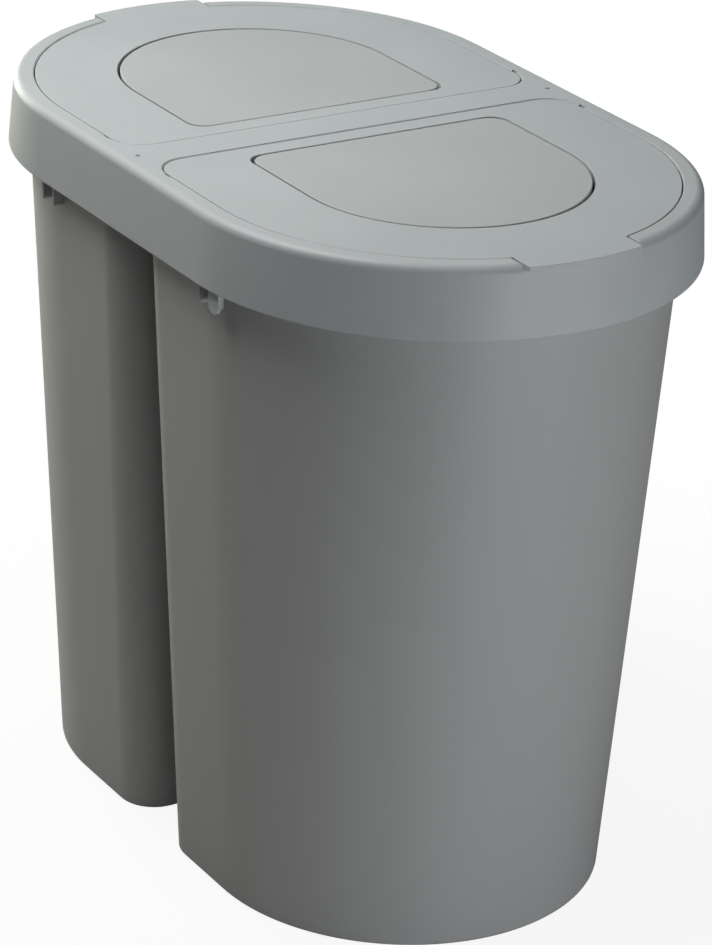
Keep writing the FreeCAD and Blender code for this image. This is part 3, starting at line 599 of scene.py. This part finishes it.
def make_lid(name):
    """A lid: plate and rim, tab, collar, pivot bosses, spokes, mouth, bores, pins."""
    foot = LID_TOP - LID_DEPTH
    face = LID_TOP + CROWN
    lid = d_block(name, LID_SHAPE, foot, face, edge=LID_ROUND)
    under_tab = LID_TOP - TAB_THICK
    tab = tab_face("tab", TAB_ROOT, TAB_HALF, LID_SHAPE[1], TAB_RADIUS, under_tab)
    rise = face - under_tab - TAB_ROUND
    raise_form(tab, [(0, rise)] + rounded_edge(TAB_ROUND, TAB_STEPS))
    combine(lid, tab, "UNION")
    under = LID_TOP - LID_PLATE
    hollow = d_block("hollow", LID_SHAPE, foot - PAST, under, grow=-LID_RIM)
    combine(lid, hollow, "DIFFERENCE")
    low = LID_TOP - COLLAR_DEPTH
    collar = d_block("collar", MOUTH_SHAPE, low, under + 3 * LAP, grow=COLLAR_WALL)
    combine(lid, collar, "UNION")
    span = (PIVOT_PLACE - 2 * PIVOT_PIN, PIVOT_PLACE + 2 * PIVOT_PIN)
    reach = (MOUTH_SHAPE[2] + 5 * LAP, PIVOT_REACH + COLLAR_WALL)
    tall = (low + HAIR, under + 4 * LAP)
    on_both_sides(lid, lambda side: side_box("boss", span, reach, tall, side))
    for angle in half_turn(SPOKES):
        combine(lid, spoke(angle), "UNION")
    mouth = easing_cutter("mouth", MOUTH_SHAPE, low - PAST, face, MOUTH_EASED)
    combine(lid, mouth, "DIFFERENCE")
    end = PIVOT_REACH + PIN_PLAY
    bore = rod("bore", PIVOT_PIN + PIN_PLAY, PIVOT_PLACE, PIVOT_LEVEL, -end, end)
    combine(lid, bore, "DIFFERENCE")
    reach = (LID_SHAPE[2] - LID_RIM / 2, HINGE_REACH)
    on_both_sides(
        lid, lambda side: side_rod("pin", HINGE_PIN, HINGE_PLACE, HINGE_LEVEL, reach, side)
    )
    return finish_mesh(lid)


lid_right = make_lid("lid_right_plate")
lid_left = turned_copy(lid_right, "lid_left_plate")
place(lid_right, "lid_right", "lid_plastic")
place(lid_left, "lid_left", "lid_plastic")

# %% [markdown]
# ## The frame
#
# The frame is the largest moulding: a long round skirt with a rounded top edge, and two
# wells that the lids drop into. Its outline is a D mirrored across the middle, so one
# half is drawn and the Mirror modifier adds the other. The joint leaves a seam of points
# on the straight sides, which Limited Dissolve takes out.

# %% Make a long round face
SKIRT_FOOT = 452.0
END_CENTRE, FRAME_RADIUS, FRAME_FLARE = 106.5, 173.5, 3.5
FRAME_WALL, FRAME_ROUND, FOOT_EDGE = 2.6, 6.0, 0.9
WELL_SHAPE = (15.4, 106.6, 160.0, 23.0)
WELL_WALL, LEDGE_WIDTH, LEDGE_THICK, SEAT_GAP = 2.4, 7.0, 2.4, 0.3
LEDGE_TOP = LID_TOP - LID_DEPTH - SEAT_GAP
LEDGE_FOOT = LEDGE_TOP - LEDGE_THICK
LEAST_RISE = 0.1  # mm; the first step up from the foot
TOP_STEPS, FOOT_STEPS, INNER_STEPS = 8, 3, 4
FLAT_ANGLE = math.radians(0.1)


def long_face(name, radius, level):
    """A flat face with two round ends: half a circle, pulled to the middle, mirrored."""
    deselect_all()
    bpy.ops.mesh.primitive_circle_add(
        vertices=2 * ROUND_STEPS,
        radius=radius * MM,
        fill_type="NGON",
        location=(END_CENTRE * MM, 0, level * MM),
    )
    piece = bpy.context.object
    piece.name = name
    bpy.ops.object.transform_apply(location=True, rotation=True, scale=True)
    bpy.ops.object.mode_set(mode="EDIT")
    bpy.ops.mesh.select_all(action="SELECT")
    middle = (END_CENTRE * MM, 0, level * MM)
    bpy.ops.mesh.bisect(plane_co=middle, plane_no=(1, 0, 0), clear_inner=True)
    select_edges(lambda end: abs(end.x - END_CENTRE) < NEAR)
    back = (-END_CENTRE * MM, 0, 0)
    bpy.ops.mesh.extrude_region_move(TRANSFORM_OT_translate={"value": back})
    bpy.ops.object.mode_set(mode="OBJECT")
    bpy.ops.object.modifier_add(type="MIRROR")
    bpy.ops.object.modifier_apply(modifier=piece.modifiers[-1].name)
    bpy.ops.object.mode_set(mode="EDIT")
    bpy.ops.mesh.select_all(action="SELECT")
    bpy.ops.mesh.dissolve_faces()
    bpy.ops.mesh.dissolve_limited(angle_limit=FLAT_ANGLE)
    bpy.ops.mesh.select_all(action="SELECT")
    bpy.ops.mesh.normals_make_consistent(inside=False)
    bpy.ops.object.mode_set(mode="OBJECT")
    return piece


# %% The skirt and its hollow
def skirt_radius(level):
    """The skirt widens a little towards its lower edge."""
    return FRAME_RADIUS + FRAME_FLARE * (FRAME_TOP - level) / (FRAME_TOP - SKIRT_FOOT)


def frame_shell(name):
    """The outside of the frame less its inside, open below."""
    foot = SKIRT_FOOT + FOOT_EDGE
    turn = FRAME_TOP - FRAME_ROUND
    outside = long_face(name, skirt_radius(foot), foot)
    flare = skirt_radius(foot) - skirt_radius(turn)
    steps = [(0, LEAST_RISE), (flare, turn - foot - LEAST_RISE)]
    steps += rounded_edge(FRAME_ROUND, TOP_STEPS)
    raise_form(outside, steps, rounded_edge(FOOT_EDGE, FOOT_STEPS))
    low = SKIRT_FOOT - OVERRUN
    inside = long_face("inside", skirt_radius(low) - FRAME_WALL, low)
    flare = skirt_radius(low) - skirt_radius(turn)
    steps = [(0, LEAST_RISE), (flare, turn - low - LEAST_RISE)]
    raise_form(inside, steps + rounded_edge(FRAME_ROUND - FRAME_WALL, INNER_STEPS))
    return combine(outside, inside, "DIFFERENCE")


# %% [markdown]
# ## Wells, ledges and slots in the frame
#
# Each well has a wall below the top plate, a ledge that the lid rests on, a bay behind
# the ledge where the lid's tail turns down, and two round-ended slots for the hinge pins,
# which show from above only as a short notch at the seam. The tab lies in a recess across
# the rounded edge. What adds plastic comes first, and the cuts go through all of it.

# %% Parts of the frame on one side
BAR_FOOT, CUT_DEPTH, STOP_PLACE = 473.2, 32.0, 46.8
TAB_GAP, TAB_EASED, TAB_FLOOR = 2.0, 0.7, 3.9
SLOT_ROOM, NOTCH = 0.15, 1.6  # free height over a pin; how far the notch shows past the well
PLATE_FOOT = FRAME_TOP - FRAME_WALL
IN_PLATE = FRAME_TOP - FRAME_WALL / 2


def turned(piece, turn):
    """The same small solid, or the same turned half round for the other side."""
    if turn:
        piece.rotation_euler = (0, 0, math.pi)
        pick(piece)
        bpy.ops.object.transform_apply(location=True, rotation=True, scale=True)
    return piece


def add_well(shell, turn):
    """The wall round one opening, its hinge bosses, the bar's wall and the tab's floor."""
    wall = d_block("well", WELL_SHAPE, LEDGE_FOOT, IN_PLATE, grow=WELL_WALL)
    combine(shell, turned(wall, turn), "UNION")
    span = (HINGE_PLACE - HINGE_PIN - WELL_WALL, HINGE_PLACE + HINGE_PIN + WELL_WALL)
    reach = (WELL_SHAPE[2] - HAIR, HINGE_REACH + WELL_WALL)
    level = (RIM_HEIGHT, IN_PLATE + HAIR)
    for side in (1, -1):
        boss = side_box("boss", span, reach, level, side)
        combine(shell, turned(boss, turn), "UNION")
    half = WELL_SHAPE[2] - WELL_SHAPE[3]
    low = (WELL_SHAPE[0] - WELL_WALL, -half, BAR_FOOT)
    high = (WELL_SHAPE[0] + HAIR, half, IN_PLATE + 2 * HAIR)
    bar_wall = box("bar_wall", low, high)
    combine(shell, turned(bar_wall, turn), "UNION")
    half = TAB_HALF + TAB_GAP + WELL_WALL
    reach = FRAME_RADIUS - FRAME_WALL / 2
    foot = PLATE_FOOT - TAB_FLOOR
    floor = tab_face("tab_floor", TAB_ROOT, half, END_CENTRE, reach, foot)
    raise_form(floor, [(0, TAB_FLOOR + LAP)])
    combine(shell, turned(floor, turn), "UNION")


def cut_tail_bay(shell, turn, low):
    """The way through inside the ledge, and the bay that the lid's tail turns down into."""
    inner, centre, radius, corner = WELL_SHAPE
    narrow = (inner, centre, radius - LEDGE_WIDTH, corner - LEDGE_WIDTH)
    way = d_block("way", narrow, low, FRAME_TOP - PAST)
    combine(shell, turned(way, turn), "DIFFERENCE")
    bay = d_block("bay", WELL_SHAPE, low + HAIR, FRAME_TOP - PAST - HAIR)
    near = (STOP_PLACE, -radius - PAST, low - PAST)
    far = (centre + radius + PAST, radius + PAST, FRAME_TOP)
    combine(bay, box("beyond", near, far), "DIFFERENCE")
    combine(shell, turned(bay, turn), "DIFFERENCE")


def cut_hinge_slots(shell, turn):
    """A round-ended slot for both pins, closed above them but for a notch at the seam."""
    reach = HINGE_REACH + SEAT_GAP
    pin = HINGE_PIN + PIN_PLAY
    slot = rod("slot", pin, HINGE_PLACE, HINGE_LEVEL, -reach, reach)
    closed = (reach, HINGE_LEVEL + pin + SLOT_ROOM)
    notch = (WELL_SHAPE[2] + NOTCH, FRAME_TOP + PAST)
    for half, top in (closed, notch):
        low = (HINGE_PLACE - pin, -half, HINGE_LEVEL)
        combine(slot, box("slot", low, (HINGE_PLACE + pin, half, top)), "UNION")
    combine(shell, turned(slot, turn), "DIFFERENCE")


def cut_well(shell, turn):
    """The opening, the tail bay, the hinge slots and the tab's recess, in that order."""
    opening = easing_cutter("opening", WELL_SHAPE, LEDGE_TOP, FRAME_TOP, EASED)
    combine(shell, turned(opening, turn), "DIFFERENCE")
    cut_tail_bay(shell, turn, FRAME_TOP - CUT_DEPTH)
    cut_hinge_slots(shell, turn)
    half = TAB_HALF + TAB_GAP + TAB_EASED
    reach = TAB_RADIUS + FRAME_ROUND
    recess = tab_face("recess", TAB_ROOT, half, LID_SHAPE[1], reach, FRAME_TOP)
    depth = LID_DROP + TAB_THICK + SEAT_GAP - TAB_EASED
    raise_form(recess, [(0, OVERRUN)], eased_steps(TAB_EASED) + [(0, depth)])
    combine(shell, turned(recess, turn), "DIFFERENCE")


# %% [markdown]
# ## Ribs and tongues
#
# Ribs hold the skirt square and sit on the tubs' brims. A tongue for each tub hangs just
# below the skirt beside the tub's gussets and guides the frame on.

# %% Ribs and tongues
RIB_THICK, RIB_REACH, ROUND_RIBS = 2.0, 172.7, 7
RIB_TOP = PLATE_FOOT + LAP
STRAIGHT_RIBS = (-74, 0, 74)
BAR_RIBS = (-120, -60, 0, 60, 120)
TONGUE_NEAR, TONGUE_WIDTH, TONGUE_SIDE, TONGUE_THICK = 116.0, 12.5, 170.0, 2.4
TONGUE_FOOT, TONGUE_TOP = 436.0, 492.0


def frame_rib(angle, turn):
    """One rib from the well out to the skirt, turned about the centre of a round end."""
    half = RIB_THICK / 2
    near = WELL_SHAPE[2] - LEDGE_WIDTH
    rib = box("rib", (near, -half, RIM_HEIGHT), (RIB_REACH, half, RIB_TOP))
    rib.rotation_euler = (0, 0, angle)
    rib.location = (END_CENTRE * MM, 0, 0)
    bpy.ops.object.transform_apply(location=True, rotation=True, scale=True)
    return turned(rib, turn)


def tongue(turn):
    """A tongue with a half-round lower end, inside the skirt."""
    low, high = -TONGUE_SIDE - TONGUE_THICK, -TONGUE_SIDE
    half = TONGUE_WIDTH / 2
    end = rod("tongue", half, TONGUE_NEAR + half, TONGUE_FOOT + half, low, high)
    strip = box(
        "strip",
        (TONGUE_NEAR, low, TONGUE_FOOT + half),
        (TONGUE_NEAR + TONGUE_WIDTH, high, TONGUE_TOP),
    )
    combine(end, strip, "UNION")
    return turned(end, turn)


def make_frame(name):
    """The whole frame, in the order shell, walls, ribs, openings, tongues."""
    shell = frame_shell(name)
    for turn in (False, True):
        add_well(shell, turn)
    for turn in (False, True):
        for angle in half_turn(ROUND_RIBS):
            combine(shell, frame_rib(angle, turn), "UNION")
    across, tall = (WELL_SHAPE[2] - LEDGE_WIDTH, RIB_REACH), (RIM_HEIGHT, RIB_TOP)
    for x in STRAIGHT_RIBS:
        thick = (x - RIB_THICK / 2, x + RIB_THICK / 2)
        on_both_sides(shell, lambda side: side_box("rib", thick, across, tall, side))
    half = WELL_SHAPE[0] - WELL_WALL / 2
    for y in BAR_RIBS:
        low = (-half, y - RIB_THICK / 2, RIM_HEIGHT)
        combine(shell, box("rib", low, (half, y + RIB_THICK / 2, RIB_TOP)), "UNION")
    for turn in (False, True):
        cut_well(shell, turn)
        combine(shell, tongue(turn), "UNION")
    return finish_mesh(shell)


frame_piece = make_frame("frame_shell")
place(frame_piece, "lid_frame", "frame_plastic")

# %% [markdown]
# ## Camera
#
# The camera was fitted to the outlines of the lids, the frame and the tubs. It stands
# about 2.8 m away with a long lens, so the sides converge only a little.

# %% Place the camera
IMAGE_HEIGHT_PX = 945
FOCAL_PX = 3933.5
SENSOR_MM = 36.0
FLOOR_SIZE = 30  # metres, so that the floor reaches past the picture
CAMERA_PLACE = (2.1016, -1.33008, 1.35123)
CAMERA_TURN = [math.radians(angle) for angle in (65.98913, -2.21384, 58.31776)]
bpy.ops.object.camera_add(location=CAMERA_PLACE, rotation=CAMERA_TURN)
camera = bpy.context.object
camera.name = "photo_camera"
camera.data.sensor_fit = "VERTICAL"
camera.data.sensor_height = SENSOR_MM
camera.data.lens = FOCAL_PX * SENSOR_MM / IMAGE_HEIGHT_PX
camera.data.clip_end = FLOOR_SIZE
bpy.context.scene.camera = camera
print("lens in mm:", round(camera.data.lens, 1))

# %% [markdown]
# ## Moulded plastics
#
# All pieces are injection-moulded polypropylene. The mould is spark-eroded, which leaves
# a fine matte grain, and the plastic cools unevenly, which leaves soft clouds in its
# sheen. Both come from noise over Object coordinates, with sizes in millimetres, so they
# stay in place when a lid or flap turns.

# %% Colour and node helpers
POLYPROPYLENE_IOR = 1.49
NOISE_LOW, NOISE_HIGH = 0.3, 0.7  # most of a Noise factor lies between these
SPOT_CORE = 0.6  # share of a mark's radius that is fully dark


def linear(hex_colour):
    """An sRGB hex colour as linear red, green and blue."""
    parts = [int(hex_colour[i : i + 2], 16) / 255 for i in (1, 3, 5)]
    return [c / 12.92 if c <= 0.04045 else ((c + 0.055) / 1.055) ** 2.4 for c in parts]


def add_node(tree, kind, inputs=None, **settings):
    """Add a node; inputs are values or the sockets that feed it."""
    node = tree.nodes.new(kind)
    for name, value in settings.items():
        setattr(node, name, value)
    for name, value in (inputs or {}).items():
        if isinstance(value, bpy.types.NodeSocket):
            tree.links.new(value, node.inputs[name])
        else:
            node.inputs[name].default_value = value
    return node


def noise_mm(tree, place, size, detail=2.0):
    """Noise whose spots are about this many millimetres wide."""
    values = {"Vector": place, "Scale": 1 / (size * MM), "Detail": detail}
    return add_node(tree, "ShaderNodeTexNoise", values).outputs["Fac"]


def span(tree, value, low, high, start=NOISE_LOW, end=NOISE_HIGH):
    """Stretch a factor between start and end to the span from low to high."""
    reach = {"From Min": start, "From Max": end, "To Min": low, "To Max": high}
    return add_node(tree, "ShaderNodeMapRange", {"Value": value, **reach}).outputs["Result"]


def spot(tree, place, centre, radius):
    """1 inside a small round mark at a place in mm, and 0 outside it."""
    values = {0: place, 1: [c * MM for c in centre]}
    away = add_node(tree, "ShaderNodeVectorMath", values, operation="DISTANCE")
    away = away.outputs["Value"]
    return span(tree, away, 1.0, 0.0, SPOT_CORE * radius * MM, radius * MM)


def blend(tree, factor, first, second):
    """A colour between two others; a Mix node keeps its colour sockets at 6, 7 and 2."""
    values = {0: factor, 6: first, 7: second}
    return add_node(tree, "ShaderNodeMix", values, data_type="RGBA").outputs[2]


def total(tree, values):
    """The sum of some factors."""
    result = values[0]
    for value in values[1:]:
        both = {0: result, 1: value}
        result = add_node(tree, "ShaderNodeMath", both, operation="ADD").outputs[0]
    return result


# %% One recipe for the four plastics
CLOUD_SIZE = 90  # mm across one soft cloud
CLOUD_TONE, GRAIN_TONE = (0.2, 0.8), (-0.12, 0.12)  # shares of the way from dark to light
DARKEST, LIGHTEST, PIT = 0.955, 1.03, 0.35  # tones as shares of the written colour
ROUGH_SPREAD = 0.03
BUMP_STRENGTH = 0.5


def toned(base, share):
    """A share of a linear colour, with an alpha of 1."""
    return [share * channel for channel in base] + [1]


def moulded_plastic(name, colour, roughness, grain, depth, streak, marks=()):
    """Matte plastic: grain and depth in mm, streak stretches its clouds along Z."""
    material = bpy.data.materials.new(name)
    material.use_nodes = True
    tree = material.node_tree
    shader = tree.nodes["Principled BSDF"]
    shader.inputs["IOR"].default_value = POLYPROPYLENE_IOR
    place = add_node(tree, "ShaderNodeTexCoord").outputs["Object"]
    squeeze = {"Vector": place, "Scale": (1, 1, 1 / streak)}
    stretched = add_node(tree, "ShaderNodeMapping", squeeze)
    clouds = noise_mm(tree, stretched.outputs["Vector"], CLOUD_SIZE)
    fine = noise_mm(tree, place, grain)
    base = linear(colour)
    tone = total(tree, [span(tree, clouds, *CLOUD_TONE), span(tree, fine, *GRAIN_TONE)])
    coloured = blend(tree, tone, toned(base, DARKEST), toned(base, LIGHTEST))
    if marks:
        spots = total(tree, [spot(tree, place, centre, radius) for centre, radius in marks])
        coloured = blend(tree, spots, coloured, toned(base, PIT))
    tree.links.new(coloured, shader.inputs["Base Color"])
    smooth, rough = roughness - ROUGH_SPREAD, roughness + ROUGH_SPREAD
    sheen = span(tree, clouds, smooth, rough)
    grainy = span(tree, fine, -ROUGH_SPREAD, ROUGH_SPREAD)
    tree.links.new(total(tree, [sheen, grainy]), shader.inputs["Roughness"])
    relief = {
        "Height": span(tree, fine, 0, 1),
        "Strength": BUMP_STRENGTH,
        "Distance": depth * MM,
    }
    bump = add_node(tree, "ShaderNodeBump", relief)
    tree.links.new(bump.outputs["Normal"], shader.inputs["Normal"])
    return material


# %% [markdown]
# ### The colours
#
# Frame and lids are a light grey with a little green-blue. The flaps are the same grey
# with a coarser grain. The tubs are a neutral grey with a smoother, satin face and faint
# upright flow lines; they look darker in the picture mostly because less light reaches
# their upright walls. Two small round gate marks show where the plastic entered.

# %% Give every piece its plastic
GATE_RADIUS = 2.2
GATES = [((0, side * 160, FRAME_TOP), GATE_RADIUS) for side in (1, -1)]
GREY, FLAP_GREY, TUB_GREY = "#BCC1C2", "#B7BCBC", "#B2B3B2"
# Each recipe is (name, colour, roughness, grain in mm, depth in mm, stretch, marks).
RECIPES = {
    "frame_plastic": ("light grey polypropylene, matte", GREY, 0.46, 0.7, 0.03, 1.0, GATES),
    "lid_plastic": ("light grey polypropylene, lid", GREY, 0.46, 0.7, 0.03, 1.0, ()),
    "flap_plastic": (
        "light grey polypropylene, grained", FLAP_GREY, 0.5, 1.1, 0.06, 1.0, ()
    ),
    "tub_plastic": ("mid grey polypropylene, satin", TUB_GREY, 0.42, 0.8, 0.03, 6.0, ()),
}
PLASTICS = {slot: moulded_plastic(*recipe) for slot, recipe in RECIPES.items()}
for piece, plastic in PLACED_SLOTS:
    piece.data.materials.clear()
    piece.data.materials.append(PLASTICS[plastic])
    print(piece.name, "is", PLASTICS[plastic].name)

# %% [markdown]
# ## Studio
#
# Soft square lamps stand round the object. The key lamp is high on the left and lights the
# top. A low warm lamp behind on the left gives the left edges their light, and low lamps
# on the right light the round end. The floor and the world look white to the camera, the
# floor keeps part of the object's shadow, and the world lights nothing.

# %% White floor and dark world
GLOW_NEAR = 0.9  # share of plain white in the floor beside the object
FADE = (0.3, 0.7)  # metres over which that share rises to 1
WHITE, PAPER_BOUNCE = (1, 1, 1, 1), (0.45, 0.45, 0.45, 1)
PAPER_ROUGHNESS = 0.9
bpy.ops.mesh.primitive_plane_add(size=FLOOR_SIZE, location=(0, 0, 0))
floor = bpy.context.object
floor.name = "studio_floor"
paper = bpy.data.materials.new("white paper floor")
paper.use_nodes = True
tree = paper.node_tree
matte = tree.nodes["Principled BSDF"]
matte.inputs["Roughness"].default_value = PAPER_ROUGHNESS
seen = add_node(tree, "ShaderNodeLightPath").outputs["Is Camera Ray"]
tree.links.new(blend(tree, seen, PAPER_BOUNCE, WHITE), matte.inputs["Base Color"])
glow = add_node(tree, "ShaderNodeEmission", {"Color": WHITE, "Strength": 1.0})
spread = add_node(tree, "ShaderNodeTexCoord").outputs["Object"]
away = add_node(tree, "ShaderNodeVectorMath", {0: spread}, operation="LENGTH")
fade = span(tree, away.outputs["Value"], GLOW_NEAR, 1.0, *FADE)
share = add_node(tree, "ShaderNodeMath", {0: seen, 1: fade}, operation="MULTIPLY")
halves = {0: share.outputs[0], 1: matte.outputs[0], 2: glow.outputs[0]}
both = add_node(tree, "ShaderNodeMixShader", halves)
tree.links.new(both.outputs[0], tree.nodes["Material Output"].inputs["Surface"])
floor.data.materials.append(paper)

world = bpy.data.worlds.new("studio_world")
world.use_nodes = True
bpy.context.scene.world = world
tree = world.node_tree
backdrop = tree.nodes["Background"]
backdrop.inputs["Color"].default_value = WHITE
seen = add_node(tree, "ShaderNodeLightPath").outputs["Is Camera Ray"]
tree.links.new(seen, backdrop.inputs["Strength"])


# %% Soft lamps round the object
AIM = Vector((0, 0, 0.3))


def soft_lamp(name, azimuth, elevation, distance, width, power, colour):
    """A square area lamp on a sphere round the object's middle, looking at it."""
    turn, lift = math.radians(azimuth), math.radians(elevation)
    flat = math.cos(lift)
    way = Vector((flat * math.cos(turn), flat * math.sin(turn), math.sin(lift)))
    bpy.ops.object.light_add(type="AREA", location=AIM + distance * way)
    lamp = bpy.context.object
    lamp.name = name
    lamp.data.size = width
    lamp.data.energy = power
    lamp.data.color = colour
    lamp.rotation_euler = way.to_track_quat("Z", "Y").to_euler()
    return lamp


# Each lamp is (name, azimuth and elevation in degrees, metres, width in metres, watts,
# colour).
LAMPS = [
    ("key_high_left", -120, 66, 1.2, 0.8, 11.7, (1.0, 0.99, 0.98)),
    ("low_behind_left", -175, 8, 1.6, 0.6, 12.4, (0.98, 1.0, 0.84)),
    ("high_behind_right", 140, 55, 1.3, 0.8, 1.9, (0.88, 0.98, 1.0)),
    ("low_right", 0, -4, 1.8, 0.34, 7.0, (0.94, 0.95, 1.0)),
    ("low_far_right", 25, -4, 1.8, 0.34, 3.8, (0.97, 0.99, 1.0)),
    ("high_right", 25, 25, 1.8, 0.5, 0.6, (0.95, 0.98, 1.0)),
]
for lamp in LAMPS:
    print(soft_lamp(*lamp).name, "has", lamp[5], "W")
bpy.context.scene.view_settings.view_transform = "Standard"
